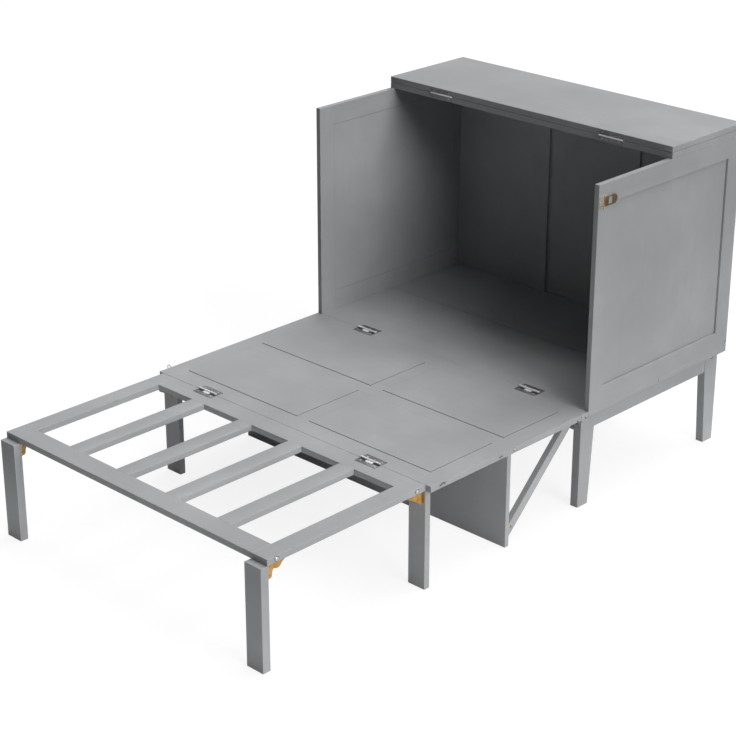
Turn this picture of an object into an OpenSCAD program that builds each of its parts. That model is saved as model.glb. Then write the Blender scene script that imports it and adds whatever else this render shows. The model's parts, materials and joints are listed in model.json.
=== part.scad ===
// Cabinet bed, opened out for sleeping: a cabinet on legs, a front panel that lets down
// level with the cabinet floor, and a slatted foot frame hinged to the end of the panel.
// Sizes are in millimetres. Along y, zero is the seam between the cabinet and the panel
// until the whole bed is centred; the bed runs out towards minus y, the cabinet towards plus y.

/* [Cabinet] */
// Outside width of the cabinet and of the front panel
case_w = 1110; // [900:10:1400]
// Depth of the cabinet from its front edge to its rear edge
case_d = 682; // [620:2:800]
// Height of the bed surface above the floor
bed_h = 320; // [300:2:360]
// Thickness of the cabinet floor boards
floor_t = 15; // [12:1:20]
// Thickness of the side panels
side_t = 16; // [14:1:22]
// Width of the stiles and rails that frame the side panels
side_frame_w = 62; // [50:1:90]
// Thickness of the inset boards in the side panels
side_inset_t = 8; // [6:1:10]
// Depth of the thin line round an inset on its inner face
inset_reveal = 1; // [0.5:0.25:2]
// Gap between the two cabinet floor boards
floor_joint = 2; // [1:0.5:4]

/* [Base] */
// Distance from the cabinet side in to the outer face of the legs
base_inset = 25; // [10:1:40]
// Thickness of the cabinet legs across the bed
base_leg_t = 27; // [22:1:40]
// Width of the cabinet legs at the top, along the bed
base_leg_top_w = 62; // [50:1:80]
// Width of the cabinet legs at the floor, along the bed
base_leg_foot_w = 46; // [36:1:50]
// Distance from the rear edge of the cabinet to the rear legs
base_rear_gap = 5; // [2:1:20]
// Height of the aprons under the cabinet floor
apron_h = 60; // [40:1:80]
// Thickness of the aprons
apron_t = 18; // [15:1:22]
// Distance from the outer face of a leg back to the face of an apron
apron_setback = 2; // [1:0.5:4]

/* [Back] */
// Thickness of the back boards
back_t = 5; // [4:1:9]
// Width of the battens that cover the joints of the back boards
batten_w = 64; // [40:1:90]
// Thickness of the battens
batten_t = 8; // [6:1:12]
// Width of the rails behind the back boards
back_rail_w = 60; // [40:1:90]
// Thickness of the rails behind the back boards
back_rail_t = 18; // [15:1:22]

/* [Top] */
// Depth of each of the two leaves of the top
leaf_d = 347; // [300:1:400]
// Thickness of each leaf
leaf_t = 18; // [15:1:25]
// Gap between the folded leaves
leaf_gap = 1; // [0.5:0.25:2]
// Width of the solid lip along the hinged edge of each leaf
lip_w = 42; // [30:1:60]

/* [Front panel] */
// Length of the front panel from seam to seam
panel_l = 671; // [640:1:720]
// Thickness of the panel and of the foot frame
board_t = 18; // [18:1:20]
// Width of the panel's side stiles
panel_stile_w = 60; // [50:1:80]
// Width of the panel's end rails
panel_rail_w = 64; // [50:1:80]
// Width of the middle rail and of the mullions
panel_mid_w = 50; // [40:1:60]
// Distance from the cabinet seam to the centre line of the middle rail
mid_rail_out = 329; // [320:1:340]
// Thickness of the inset boards
panel_inset_t = 12; // [9:1:13]
// Height of the insets above the bed surface
inset_raise = 1.5; // [0.5:0.25:2]
// Gap at each seam between two sections of the bed
seam_gap = 1; // [0.5:0.25:2]
// Gap between the standing panel and the top
shut_gap = 7.5; // [6:0.5:12]

/* [Foot frame] */
// Length of the foot frame from the seam to its end
foot_l = 577; // [570:1:590]
// Room between the folded foot frame and each side panel
fold_clear = 2.5; // [2:0.25:5]
// Width of the frame's side rails and of its slats
foot_side_w = 55; // [40:1:70]
// Width of the frame's end rails
foot_rail_w = 65; // [50:1:90]
// Width of each slat
slat_w = 54; // [40:1:70]
// Number of slats
slat_count = 4; // [3:1:6]

/* [Folding legs] */
// Width of the folding legs across the bed
leg_w = 61; // [54:1:70]
// Thickness of the two legs at the foot
foot_leg_t = 26; // [18:1:32]
// Thickness of the two middle legs
mid_leg_t = 20; // [16:1:26]
// How far the foot legs stand out past the end of the frame
foot_leg_out = 22; // [16:1:24]
// Height of the frame above the middle legs' pivots
mid_pivot_h = 24; // [22:1:30]
// Height of the frame above the foot legs' pivots
foot_pivot_h = 37; // [35:0.5:40]
// Distance from the foot legs in to their pivots
foot_pivot_in = 6.8; // [6:0.1:8.5]
// Outside width of the brass brackets
bracket_w = 47; // [40:1:50]
// Thickness of the brass plate
brass_t = 2; // [1.5:0.25:2.5]
// Length of the bracket channel along the frame
channel_l = 62; // [50:1:76]
// Radius of the bracket pins
pin_r = 3; // [2:0.25:3.5]

/* [Support board] */
// Distance from the cabinet seam to the front face of the support board
support_out = 336; // [334:1:338]
// Thickness of the support board
support_t = 16; // [14:1:18]
// Distance from the bed side in to the end of the support board
support_inset = 18; // [12:1:24]
// Width of the braces
brace_w = 28; // [22:1:32]
// Thickness of the braces across the bed
brace_t = 18; // [14:1:22]
// Distance from the bed side in to the outer face of a brace
brace_inset = 25; // [20:1:32]
// Height of the brace pivots above the floor
brace_pivot_h = 53; // [48:1:60]
// Slope of the braces above the floor in degrees
brace_slope = 44.2; // [43:0.1:45]

/* [Hinges and latches] */
// Width of the bed hinges along the seam
hinge_w = 76; // [60:1:90]
// Reach of each bed hinge leaf from the seam
hinge_reach = 25; // [18:1:35]
// Distance from the bed side to the middle of each hinge
hinge_in = 221; // [180:1:300]
// Height of the bed hinge pins above the bed surface
hinge_rise = 3.5; // [3:0.25:4.5]
// Thickness of the steel hinge plate
steel_t = 1.5; // [1:0.25:2]
// Width of the top hinges
top_hinge_w = 86; // [60:1:110]
// Reach of each top hinge leaf from the pin
top_hinge_reach = 14.5; // [11:0.5:16]
// Distance from the leaf edge out to the top hinge pins
top_hinge_out = 2.75; // [2.5:0.25:3.5]
// Height of the latch centre line below the top of the side panel
latch_drop = 52; // [40:1:90]
// Length of the latch arm from its pin
latch_arm_l = 57; // [50:1:70]

/* [Hidden] */
$fn = 48;

// Paint and metal colours
paint = "#a6a9ab";
shade_paint = "#8f9294";
steel = "#8a8d90";
brass = "#b98c46";
bronze = "#8c7350";

// Small sizes and running clearances
over = 1; // overrun for cuts
rest_gap = 0.3; // gap between pieces that rest on each other
run_gap = 0.4; // gap beside a turning knuckle or cheek
pin_gap = 0.1; // gap round a pin in its bore
knuckle_gap = 0.3; // gap between a barrel and the board below it
pin_head_r = 5;
pin_head_t = 1.5;
bolt_r = 6;
bolt_head_t = 1.2;
bolt_shank_r = 3;
bolt_shank_l = 14;
knuckle_wall = 1.7;
channel_top_drop = 14; // depth of the channel cheek where it ends along the frame
lock_drop = 7; // depth of the lock pin below the frame
lock_in = 5; // place of the lock pin beside the pivot, along the frame
lock_r = 2;
shoe_below = 6; // reach of the shoe plate below the pivot
shoe_r = 8;
fold_over = 4; // how far a folded middle leg passes the hinged end of the frame
wire_r = 1.25;
wire_bead_r = 1.4; // bead where two lengths of wire meet
loop_w = 18; // width of the staple loop
loop_h = 15; // reach of the staple loop
loop_tip_w = 6;
loop_tilt = 35;
latch_plate_w = 33;
latch_plate_h = 40;
latch_plate_t = 2;
latch_plate_in = 2;
latch_arm_h = 28;
latch_arm_t = 2;
latch_pin_in = 22; // distance from the front edge of the side panel to the latch pin
latch_pin_r = 1.2;
latch_knuckle_r = 2.8;
latch_slot_h = 21;
latch_slot_near = 18;
latch_slot_far = 39;
board_hinge_w = 60;
board_hinge_reach = 14.5;
board_hinge_rise = 3.2;
cleat_l = 20;
cleat_h = 20;
cleat_w = 34;
cleat_gap = 1.5;
clevis_h = 40;
clevis_w = 24;
clevis_t = 2.5;
clevis_reach = 28;
brace_pin_r = 4;
brace_end_gap = 1;
bearer_w = 60;
bolt_high = 24; // case bolts, below the top of the side panel
base_bolt_drop = 20; // base bolts, below the cabinet floor

// Heights
frame_z = bed_h - board_t; // underside of the panel and foot frame
floor_z = bed_h - floor_t; // underside of the cabinet floor
side_top = bed_h + panel_l + hinge_rise + shut_gap;
leaf_seam_z = side_top + leaf_t + leaf_gap/2;
leg_top = frame_z - rest_gap;

// Lengths along the bed, counted out from the cabinet seam
panel_near = -seam_gap/2;
panel_far = -panel_l + seam_gap/2;
foot_near = -panel_l - seam_gap/2;
foot_far = -panel_l - foot_l;
front_face = foot_far - foot_leg_out;
y_mid = (case_d + front_face)/2;

// Half widths
half = case_w/2;
inner = half - side_t;
foot_half = inner - fold_clear;
base_half = half - base_inset;
leg_x = foot_half - leg_w/2; // centre line of the folding legs

// Top
split_y = case_d - leaf_d; // front edge of the fixed leaf
top_axis_y = split_y - top_hinge_out;

// Folding legs
mid_leg_y = foot_near; // front face of the middle legs
foot_leg_y = front_face + foot_leg_t; // rear face of the foot legs
mid_pivot_z = frame_z - mid_pivot_h;
foot_pivot_z = frame_z - foot_pivot_h;
mid_pivot_y = foot_near + fold_over - (leg_top - mid_pivot_z);
foot_pivot_y = foot_leg_y + foot_pivot_in;
mid_face = mid_leg_y - mid_pivot_y; // from the pivot to the face of the leg
foot_face = foot_pivot_in;
mid_cheek_r = mid_face - 5*brass_t/2;
foot_cheek_r = foot_face - rest_gap;
cheek_in = bracket_w/2 - brass_t; // inner face of a channel cheek from the leg's centre line
shoe_half = cheek_in - run_gap;

// Support board
board_y = -support_out;
board_axis_y = board_y - board_hinge_rise;
board_axis_z = frame_z - board_hinge_rise;
board_back = board_y + support_t;
brace_pivot_y = board_back + brace_w/2 + 2*brace_end_gap;
brace_x = half - brace_inset - brace_t;

// Latches
latch_z = side_top - latch_drop;
latch_axis_x = half + latch_plate_t + run_gap + latch_arm_t/2;
staple_y = bed_h + hinge_rise - latch_z; // comes level with the latch in the shut cabinet

// Everything is drawn about the cabinet seam and then centred on the bed
module centred() translate([0, -y_mid, 0]) children();

module both() {
    children();
    mirror([1, 0, 0]) children();
}

// A board given by its lowest and highest corners
module board(low, high) translate(low) cube(high - low);

// A round bar along x, centred on x
module bar_x(r, len) rotate([0, 90, 0]) cylinder(r = r, h = len, center = true);

module framed(w, d, h) translate([-w/2, 0, 0]) cube([w, d, h]);

// One leaf of a butt hinge. The pin lies along x through the origin, the leaf reaches
// towards plus y and rests on a surface that lies rise below the pin. An outer leaf has
// the two end knuckles, the other has the middle one.
module hinge_leaf(width, reach, rise, outer) {
    r = rise - knuckle_gap;
    third = width/3;
    spans = outer ? [-third, third] : [0];
    difference() {
        union() {
            translate([-width/2, rise + run_gap, -rise])
                cube([width, reach - rise - run_gap, steel_t]);
            for (x = spans) translate([x, 0, 0]) {
                bar_x(r, third - run_gap);
                translate([-(third - run_gap)/2, 0, -r])
                    cube([third - run_gap, rise + run_gap + over, steel_t - knuckle_gap]);
            }
        }
        bar_x(r - knuckle_wall + pin_gap, width + over);
    }
}

// The pin of a butt hinge
module hinge_pin(width, rise)
    bar_x(rise - knuckle_gap - knuckle_wall, width - run_gap);

module at_bed_hinges(y, z) centred() both() translate([half - hinge_in, y, z]) children();

// The cabinet floor is two boards, joined under the front edge of the fixed top leaf
module floor_front() color(paint) centred()
    board([-half, 0, floor_z], [half, split_y - floor_joint/2, bed_h]);

module floor_rear() color(paint) centred()
    board([-half, split_y + floor_joint/2, floor_z], [half, case_d, bed_h]);

// A cabinet leg that tapers on one edge only. Its straight edge lies at y zero.
module tapered_leg()
    rotate([90, 0, 90])
        linear_extrude(base_leg_t)
            polygon([[0, 0], [base_leg_foot_w, 0], [base_leg_top_w, floor_z - apron_h],
                [base_leg_top_w, floor_z], [0, floor_z]]);

module front_legs() color(paint) centred() both()
    translate([base_half - base_leg_t, 0, 0]) tapered_leg();

module rear_legs() color(paint) centred() both()
    translate([base_half - base_leg_t, case_d - base_rear_gap, 0])
        mirror([0, 1, 0]) tapered_leg();

module front_apron() color(shade_paint) centred()
    board([-base_half + base_leg_t, apron_setback, floor_z - apron_h],
        [base_half - base_leg_t, apron_setback + apron_t, floor_z]);

module rear_apron() color(shade_paint) centred()
    board([-base_half + base_leg_t, case_d - base_rear_gap - apron_setback - apron_t,
        floor_z - apron_h],
        [base_half - base_leg_t, case_d - base_rear_gap - apron_setback, floor_z]);

module side_aprons() color(paint) centred() both()
    board([base_half - apron_setback - apron_t, base_leg_top_w, floor_z - apron_h],
        [base_half - apron_setback, case_d - base_rear_gap - base_leg_top_w, floor_z]);

// The bearer carries the joint of the two floor boards
module floor_bearer() color(shade_paint) centred()
    board([-base_half + apron_setback + apron_t, split_y - bearer_w/2, floor_z - apron_t],
        [base_half - apron_setback - apron_t, split_y + bearer_w/2, floor_z]);

// Side panels, drawn for the right side and mirrored for the left
module side_stiles() {
    board([inner, 0, bed_h], [half, side_frame_w, side_top]);
    board([inner, case_d - side_frame_w, bed_h], [half, case_d, side_top]);
}

module side_rails() {
    board([inner, side_frame_w, bed_h],
        [half, case_d - side_frame_w, bed_h + side_frame_w]);
    board([inner, side_frame_w, side_top - side_frame_w],
        [half, case_d - side_frame_w, side_top]);
}

module side_inset()
    board([inner + inset_reveal, side_frame_w, bed_h + side_frame_w],
        [inner + inset_reveal + side_inset_t, case_d - side_frame_w, side_top - side_frame_w]);

module side_stiles_right() color(paint) centred() side_stiles();
module side_stiles_left() color(paint) centred() mirror([1, 0, 0]) side_stiles();
module side_rails_right() color(paint) centred() side_rails();
module side_rails_left() color(paint) centred() mirror([1, 0, 0]) side_rails();
module side_inset_right() color(paint) centred() side_inset();
module side_inset_left() color(paint) centred() mirror([1, 0, 0]) side_inset();

// The back: three boards against two rails, with battens over the joints inside
module rear_rails() color(shade_paint) centred()
    for (z = [bed_h, side_top - back_rail_w])
        board([-inner, case_d - back_rail_t, z], [inner, case_d, z + back_rail_w]);

module back_boards() color(shade_paint) centred()
    for (i = [-1, 0, 1])
        translate([i*2*inner/3, case_d - back_rail_t - back_t, bed_h])
            framed(2*inner/3 - rest_gap, back_t, side_top - bed_h);

module back_battens() color(shade_paint) centred() both()
    translate([inner/3, case_d - back_rail_t - back_t - batten_t, bed_h])
        framed(batten_w, batten_t, side_top - bed_h);

// The top: a fixed rear leaf and a front leaf that lies folded back on it
module leaf_main(z)
    board([-half, split_y + lip_w, z], [half, case_d, z + leaf_t]);

module leaf_lip(z)
    board([-half, split_y, z], [half, split_y + lip_w, z + leaf_t]);

module top_rear_leaf() color(paint) centred() leaf_main(side_top);
module top_rear_lip() color(paint) centred() leaf_lip(side_top);
module top_front_leaf() color(paint) centred() leaf_main(side_top + leaf_t + leaf_gap);
module top_front_lip() color(paint) centred() leaf_lip(side_top + leaf_t + leaf_gap);

module at_top_hinges() centred() both()
    translate([half - hinge_in, top_axis_y, leaf_seam_z]) rotate([90, 0, 0]) children();

module top_hinge_leaves() color(steel) at_top_hinges() {
    mirror([0, 1, 0]) hinge_leaf(top_hinge_w, top_hinge_reach, top_hinge_out, true);
    hinge_pin(top_hinge_w, top_hinge_out);
}

module top_hinge_flaps() color(steel) at_top_hinges()
    hinge_leaf(top_hinge_w, top_hinge_reach, top_hinge_out, false);

// Hinges between the cabinet floor and the front panel
module floor_hinge_leaves() color(steel) at_bed_hinges(0, bed_h + hinge_rise) {
    hinge_leaf(hinge_w, hinge_reach, hinge_rise, true);
    hinge_pin(hinge_w, hinge_rise);
}

module floor_hinge_flaps() color(steel) at_bed_hinges(0, bed_h + hinge_rise)
    mirror([0, 1, 0]) hinge_leaf(hinge_w, hinge_reach, hinge_rise, false);

// Hinges between the front panel and the foot frame
module foot_hinge_leaves() color(steel) at_bed_hinges(-panel_l, bed_h + hinge_rise) {
    hinge_leaf(hinge_w, hinge_reach, hinge_rise, true);
    hinge_pin(hinge_w, hinge_rise);
}

module foot_hinge_flaps() color(steel) at_bed_hinges(-panel_l, bed_h + hinge_rise)
    mirror([0, 1, 0]) hinge_leaf(hinge_w, hinge_reach, hinge_rise, false);

// Front panel: a frame with four insets that stand a little proud of the bed surface
module panel_stiles() color(paint) centred() both()
    board([half - panel_stile_w, panel_far, frame_z], [half, panel_near, bed_h]);

module panel_rails() color(paint) centred() {
    board([-half + panel_stile_w, panel_far, frame_z],
        [half - panel_stile_w, panel_far + panel_rail_w, bed_h]);
    board([-half + panel_stile_w, panel_near - panel_rail_w, frame_z],
        [half - panel_stile_w, panel_near, bed_h]);
}

module panel_mid_rail() color(paint) centred()
    board([-half + panel_stile_w, -mid_rail_out - panel_mid_w/2, frame_z],
        [half - panel_stile_w, -mid_rail_out + panel_mid_w/2, bed_h]);

// Low and high ends of the two rows of openings in the panel
rows = [[panel_far + panel_rail_w, -mid_rail_out - panel_mid_w/2],
    [-mid_rail_out + panel_mid_w/2, panel_near - panel_rail_w]];

module panel_mullions() color(paint) centred()
    for (row = rows)
        board([-panel_mid_w/2, row[0], frame_z], [panel_mid_w/2, row[1], bed_h]);

module panel_insets() color(paint) centred() both()
    for (row = rows)
        board([panel_mid_w/2, row[0], bed_h + inset_raise - panel_inset_t],
            [half - panel_stile_w, row[1], bed_h + inset_raise]);

// Foot frame: side rails run through, end rails and slats lie between them
module foot_side_rails() color(paint) centred() both()
    board([foot_half - foot_side_w, foot_far, frame_z], [foot_half, foot_near, bed_h]);

module foot_end_rail() color(paint) centred()
    board([-foot_half + foot_side_w, foot_far, frame_z],
        [foot_half - foot_side_w, foot_far + foot_rail_w, bed_h]);

module foot_head_rail() color(paint) centred()
    board([-foot_half + foot_side_w, foot_near - foot_rail_w, frame_z],
        [foot_half - foot_side_w, foot_near, bed_h]);

slat_pitch = (2*(foot_half - foot_side_w) + slat_w)/(slat_count + 1);

module slats() color(paint) centred()
    for (i = [1:slat_count])
        translate([-foot_half + foot_side_w - slat_w/2 + i*slat_pitch,
            foot_far + foot_rail_w, frame_z])
            framed(slat_w, foot_near - foot_far - 2*foot_rail_w, board_t);

// A folding leg and its bracket are drawn in their own frame: the pivot is the origin,
// the leg stands towards plus y at the distance face, and the frame lies up above it.
module leg_bar(face, thick, pivot_z)
    translate([-leg_w/2, face, -pivot_z]) cube([leg_w, thick, leg_top]);

// The channel that is screwed up under the frame
module channel(face, cheek_r, up) {
    near = face - run_gap;
    difference() {
        union() {
            translate([-bracket_w/2, near - channel_l, up - brass_t])
                cube([bracket_w, channel_l, brass_t]);
            for (x = [-bracket_w/2, cheek_in]) translate([x, 0, 0]) {
                rotate([0, 90, 0]) cylinder(r = cheek_r, h = brass_t);
                rotate([90, 0, 90]) linear_extrude(brass_t)
                    polygon([[near, 0], [near, up], [near - channel_l, up],
                        [near - channel_l, up - channel_top_drop/2],
                        [near - channel_l + channel_top_drop, up - channel_top_drop],
                        [-cheek_r, 0]]);
            }
        }
        bar_x(pin_r + pin_gap, bracket_w + over);
        translate([0, -lock_in, up - lock_drop - brass_t])
            bar_x(lock_r + pin_gap, bracket_w + over);
    }
}

// The shoe that is screwed to the leg and turns between the channel's cheeks
module shoe(face) difference() {
    union() {
        translate([-shoe_half, face - brass_t, -shoe_r - shoe_below])
            cube([2*shoe_half, brass_t, 2*shoe_r + shoe_below]);
        for (x = [-shoe_half, shoe_half - brass_t]) intersection() {
            union() {
                translate([x, 0, 0]) rotate([0, 90, 0]) cylinder(r = shoe_r, h = brass_t);
                translate([x, 0, -shoe_r]) cube([brass_t, face, 2*shoe_r]);
            }
            translate([-bracket_w/2, -shoe_r - over, -shoe_r - over])
                cube([bracket_w, face + shoe_r + over, 2*(shoe_r + over)]);
        }
    }
    bar_x(pin_r + pin_gap, bracket_w + over);
}

module bracket_pins(up) {
    bar_x(pin_r, bracket_w);
    for (s = [-1, 1]) translate([s*(bracket_w + pin_head_t)/2, 0, 0])
        bar_x(pin_head_r, pin_head_t);
    translate([0, -lock_in, up - lock_drop - brass_t])
        bar_x(lock_r, bracket_w + pin_head_t);
}

module at_mid_leg() centred() translate([leg_x, mid_pivot_y, mid_pivot_z]) children();
module at_foot_leg() centred() translate([leg_x, foot_pivot_y, foot_pivot_z])
    mirror([0, 1, 0]) children();

module leg_channels() color(brass) both() {
    at_mid_leg() channel(mid_face, mid_cheek_r, mid_pivot_h);
    at_foot_leg() channel(foot_face, foot_cheek_r, foot_pivot_h);
}

module leg_pins() color(steel) both() {
    at_mid_leg() bracket_pins(mid_pivot_h);
    at_foot_leg() bracket_pins(foot_pivot_h);
}

module mid_leg_right() color(paint) at_mid_leg() leg_bar(mid_face, mid_leg_t, mid_pivot_z);
module foot_leg_right() color(paint) at_foot_leg()
    leg_bar(foot_face, foot_leg_t, foot_pivot_z);
module mid_shoe_right() color(brass) at_mid_leg() shoe(mid_face);
module foot_shoe_right() color(brass) at_foot_leg() shoe(foot_face);
module mid_leg_left() mirror([1, 0, 0]) mid_leg_right();
module foot_leg_left() mirror([1, 0, 0]) foot_leg_right();
module mid_shoe_left() mirror([1, 0, 0]) mid_shoe_right();
module foot_shoe_left() mirror([1, 0, 0]) foot_shoe_right();

// A round-headed bolt whose head lies on the plane x zero, shank towards minus x
module bolt() {
    translate([bolt_head_t/2, 0, 0]) bar_x(bolt_r, bolt_head_t);
}

// Bolt heads on the side rails above the brackets
module rail_bolts() color(steel) centred() both()
    for (y = [foot_far + foot_rail_w/2, foot_near - foot_rail_w/2])
        translate([foot_half, y, frame_z + board_t/2]) bolt();

// Bolt heads that join the side panels to the rear rails and the aprons to the legs
module case_bolts() color(steel) centred() both() {
    for (z = [bed_h + bolt_high, side_top - bolt_high])
        translate([half, case_d - back_rail_t/2, z]) bolt();
    for (y = [base_leg_top_w/2, case_d - base_rear_gap - base_leg_top_w/2])
        translate([base_half, y, floor_z - base_bolt_drop]) bolt();
}

// The board that stands under the middle rail and carries the middle of the bed
module support_board() color(shade_paint) centred()
    board([-half + support_inset, board_y, 0],
        [half - support_inset, board_back, frame_z - rest_gap]);

module at_board_hinges() centred() both()
    translate([half - hinge_in, board_axis_y, board_axis_z]) children();

module board_hinge_leaves() color(steel) at_board_hinges() rotate([180, 0, 0]) {
    hinge_leaf(board_hinge_w, board_hinge_reach, board_hinge_rise, true);
    hinge_pin(board_hinge_w, board_hinge_rise);
}

module board_hinge_flaps() color(steel) at_board_hinges() rotate([90, 0, 0])
    mirror([0, 1, 0]) hinge_leaf(board_hinge_w, board_hinge_reach, board_hinge_rise, false);

// A brace seen from its pivot: a sloping bar, cut upright at the board and level at the top
module brace_bar() {
    rise_of = tan(brace_slope);
    half_v = brace_w/2/cos(brace_slope); // half the height of the bar, measured upright
    top = frame_z - brace_end_gap - brace_pivot_h;
    cut = -brace_w/2;
    difference() {
        rotate([90, 0, 90]) linear_extrude(brace_t)
            polygon([[cut, cut*rise_of + half_v], [(top - half_v)/rise_of, top],
                [(top + half_v)/rise_of, top], [cut, cut*rise_of - half_v]]);
        translate([brace_t/2, 0, 0]) bar_x(brace_pin_r + pin_gap, brace_t + over);
    }
}

module at_brace() centred() translate([brace_x, brace_pivot_y, brace_pivot_h]) children();

module brace_right() color(shade_paint) at_brace() brace_bar();
module brace_left() mirror([1, 0, 0]) brace_right();

// An angle on the board that holds the pin of the brace
module brace_clevises() color(brass) both() at_brace() {
    translate([-clevis_w, board_back - brace_pivot_y, -clevis_h/2])
        cube([clevis_w - run_gap, clevis_t, clevis_h]);
    difference() {
        translate([-clevis_t - run_gap, board_back - brace_pivot_y + clevis_t, -clevis_h/2])
            cube([clevis_t, clevis_reach - clevis_t, clevis_h]);
        bar_x(brace_pin_r + pin_gap, 4*clevis_t);
    }
    translate([brace_t/2 - clevis_t/2, 0, 0])
        bar_x(brace_pin_r, brace_t + clevis_t + 2*pin_head_t);
}

// The top end of a brace bears against a cleat under the panel
brace_top_y = brace_pivot_y + (frame_z - brace_end_gap - brace_pivot_h
    + brace_w/2/cos(brace_slope))/tan(brace_slope);

module brace_cleats() color(brass) centred() both()
    board([brace_x - (cleat_w - brace_t)/2, brace_top_y + cleat_gap, frame_z - cleat_h],
        [brace_x + (cleat_w + brace_t)/2, brace_top_y + cleat_gap + cleat_l, frame_z]);

// Latch plates on the side panels, arms that swing on them, and staples on the panel
module at_latch() centred() translate([latch_axis_x, latch_pin_in, latch_z]) children();

module latch_plate() {
    translate([half - latch_axis_x, latch_plate_in - latch_pin_in, -latch_plate_h/2])
        cube([latch_plate_t, latch_plate_w, latch_plate_h]);
    for (s = [-1, 1])
        translate([0, 0, s*(latch_plate_h + latch_arm_h + 2*run_gap)/4]) difference() {
            cylinder(r = latch_knuckle_r,
                h = (latch_plate_h - latch_arm_h)/2 - run_gap, center = true);
            cylinder(r = latch_pin_r + pin_gap, h = latch_plate_h, center = true);
        }
    cylinder(r = latch_pin_r, h = latch_plate_h, center = true);
}

module latch_plates() color(bronze) both() at_latch() latch_plate();

module latch_arm() difference() {
    union() {
        cylinder(r = latch_axis_x - half - latch_plate_t, h = latch_arm_h, center = true);
        translate([-latch_arm_t/2, 0, -latch_arm_h/2])
            cube([latch_arm_t, latch_arm_l - latch_arm_h/2, latch_arm_h]);
        translate([0, latch_arm_l - latch_arm_h/2, 0]) bar_x(latch_arm_h/2, latch_arm_t);
    }
    cylinder(r = latch_pin_r + pin_gap, h = latch_plate_h, center = true);
    translate([-latch_arm_t, latch_slot_near, -latch_slot_h/2])
        cube([2*latch_arm_t, latch_slot_far - latch_slot_near, latch_slot_h]);
}

module latch_arm_right() color(bronze) at_latch() latch_arm();
module latch_arm_left() mirror([1, 0, 0]) latch_arm_right();

// A staple is a loop of wire that leans out from the edge of the panel
module wire(a, b) {
    d = b - a;
    len = norm(d);
    translate(a) rotate([0, acos(d[2]/len), atan2(d[1], d[0])]) cylinder(r = wire_r, h = len);
}

module latch_staples() color(steel) centred() both()
    translate([half, staple_y, frame_z + board_t/2]) {
        foot = [[wire_bead_r, -loop_w/2, 0], [wire_bead_r, loop_w/2, 0]];
        tip_x = wire_bead_r + loop_h*sin(loop_tilt);
        tip_z = loop_h*cos(loop_tilt);
        tip = [[tip_x, -loop_tip_w/2, tip_z], [tip_x, loop_tip_w/2, tip_z]];
        wire(foot[0], tip[0]);
        wire(foot[1], tip[1]);
        wire(tip[0], tip[1]);
        for (p = concat(foot, tip)) translate(p) sphere(r = wire_bead_r);
    }

floor_front();
floor_rear();
front_legs();
rear_legs();
front_apron();
rear_apron();
side_aprons();
floor_bearer();
side_stiles_left();
side_rails_left();
side_inset_left();
side_stiles_right();
side_rails_right();
side_inset_right();
rear_rails();
back_boards();
back_battens();
top_rear_leaf();
top_rear_lip();
top_hinge_leaves();
floor_hinge_leaves();
latch_plates();
case_bolts();
top_front_leaf();
top_front_lip();
top_hinge_flaps();
panel_stiles();
panel_rails();
panel_mid_rail();
panel_mullions();
panel_insets();
floor_hinge_flaps();
foot_hinge_leaves();
latch_staples();
board_hinge_leaves();
brace_cleats();
foot_side_rails();
foot_end_rail();
foot_head_rail();
slats();
foot_hinge_flaps();
leg_channels();
leg_pins();
rail_bolts();
foot_leg_left();
foot_leg_right();
mid_leg_left();
mid_leg_right();
foot_shoe_left();
foot_shoe_right();
mid_shoe_left();
mid_shoe_right();
support_board();
board_hinge_flaps();
brace_clevises();
brace_left();
brace_right();
latch_arm_left();
latch_arm_right();
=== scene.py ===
import json
import math

import bmesh
import bpy
from mathutils import Matrix, Vector

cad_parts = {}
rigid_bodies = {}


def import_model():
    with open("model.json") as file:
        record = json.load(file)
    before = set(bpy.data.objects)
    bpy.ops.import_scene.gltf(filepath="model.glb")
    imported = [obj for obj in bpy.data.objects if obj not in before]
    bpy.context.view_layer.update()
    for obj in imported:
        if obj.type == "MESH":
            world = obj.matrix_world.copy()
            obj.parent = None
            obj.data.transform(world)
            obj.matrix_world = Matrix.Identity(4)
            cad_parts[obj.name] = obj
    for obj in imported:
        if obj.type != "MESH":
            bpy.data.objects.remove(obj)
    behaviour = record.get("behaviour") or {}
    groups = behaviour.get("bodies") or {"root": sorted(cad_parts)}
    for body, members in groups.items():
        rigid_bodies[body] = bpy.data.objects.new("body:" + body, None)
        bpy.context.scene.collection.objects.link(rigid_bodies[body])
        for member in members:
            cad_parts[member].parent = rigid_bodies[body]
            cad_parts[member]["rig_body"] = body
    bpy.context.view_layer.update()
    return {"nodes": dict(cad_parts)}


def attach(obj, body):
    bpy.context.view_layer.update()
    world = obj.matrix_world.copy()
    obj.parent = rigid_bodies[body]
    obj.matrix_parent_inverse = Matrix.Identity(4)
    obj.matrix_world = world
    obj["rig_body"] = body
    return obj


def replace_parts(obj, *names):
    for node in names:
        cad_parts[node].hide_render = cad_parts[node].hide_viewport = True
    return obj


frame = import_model()
cadNodes = frame["nodes"]
mm = 0.001
# sizes below are in mm: x from the middle, y from the seam between cabinet and panel, z from the floor
plan = {
    "seam": 294,  # y of that seam in the row frame
    "half": 555,  # half the width of the cabinet
    "footSeam": -671,  # seam between the panel and the foot frame
}
print("frame loaded,", len(cadNodes), "nodes")


def at(x, y, z):
    return Vector((x * mm, (y + plan["seam"]) * mm, z * mm))  # metres in the row frame


def added(name, data):
    thing = bpy.data.objects.new(name, data)
    bpy.context.scene.collection.objects.link(thing)
    return thing


def bakedMesh(holder):  # the mesh that a curve or a nodes tree gives; its holder goes
    bpy.context.view_layer.update()
    mesh = bpy.data.meshes.new_from_object(holder.evaluated_get(bpy.context.evaluated_depsgraph_get()))
    bpy.data.objects.remove(holder)
    return mesh


# helpers for shader nodes

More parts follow.
